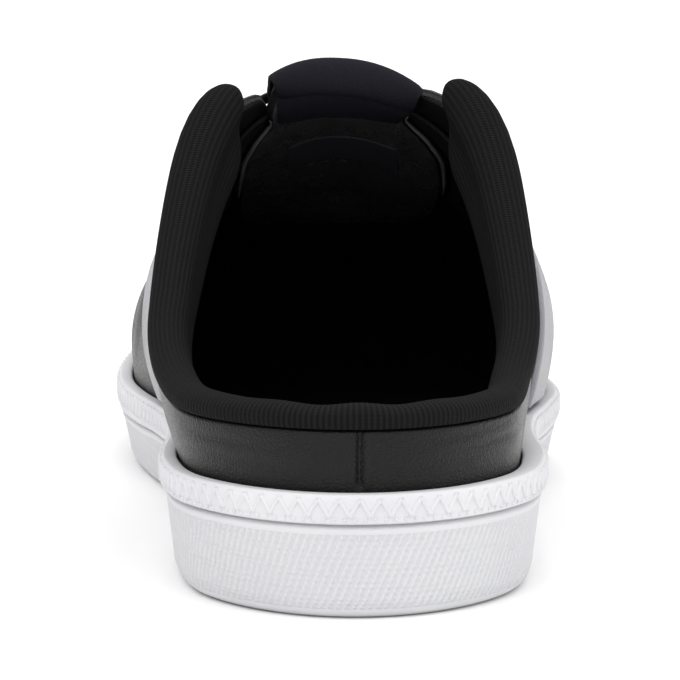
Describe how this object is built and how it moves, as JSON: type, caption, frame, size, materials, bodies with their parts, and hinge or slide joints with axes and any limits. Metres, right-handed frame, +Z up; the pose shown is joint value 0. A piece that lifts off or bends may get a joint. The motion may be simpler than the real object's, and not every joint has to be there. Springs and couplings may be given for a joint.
{
  "type": "sneaker mule",
  "caption": "Right-foot sneaker mule: white rubber cup sole, black leather upper with a dropped heel, padded knit collar, tongue with elastic gores and laced eyestays.",
  "frame": {"origin": "middle of the shoe's footprint box, on the ground", "axes": "+Y from the heel to the toe, +X to the outer side of the foot, +Z up from the ground"},
  "size_m": [0.107, 0.2936, 0.1043],
  "materials": {
    "rubber_white": "matt moulded white rubber with ribs and fine moulded texture",
    "leather_black": "smooth corrected-grain black leather, satin",
    "knit_black": "black padded knit with a fine mesh",
    "weave_navy": "navy black woven tape",
    "elastic_black": "black ribbed elastic",
    "foam_black": "black textile over foam",
    "leather_white": "smooth off-white leather, satin",
    "lace_black": "black flat woven lace"
  },
  "bodies": {
    "root": {"cup_sole": "rubber_white", "insole": "foam_black", "upper": "leather_black", "collar": "knit_black", "tongue": "leather_black", "tongue_tab": "weave_navy", "tongue_label": "weave_navy", "gore_inner": "elastic_black", "gore_outer": "elastic_black", "side_panel_inner": "leather_white", "side_panel_outer": "leather_white", "lace_bar_1": "lace_black", "lace_bar_2": "lace_black", "lace_bar_3": "lace_black", "lace_bar_4": "lace_black", "lace_bar_5": "lace_black"}
  },
  "joints": []
}
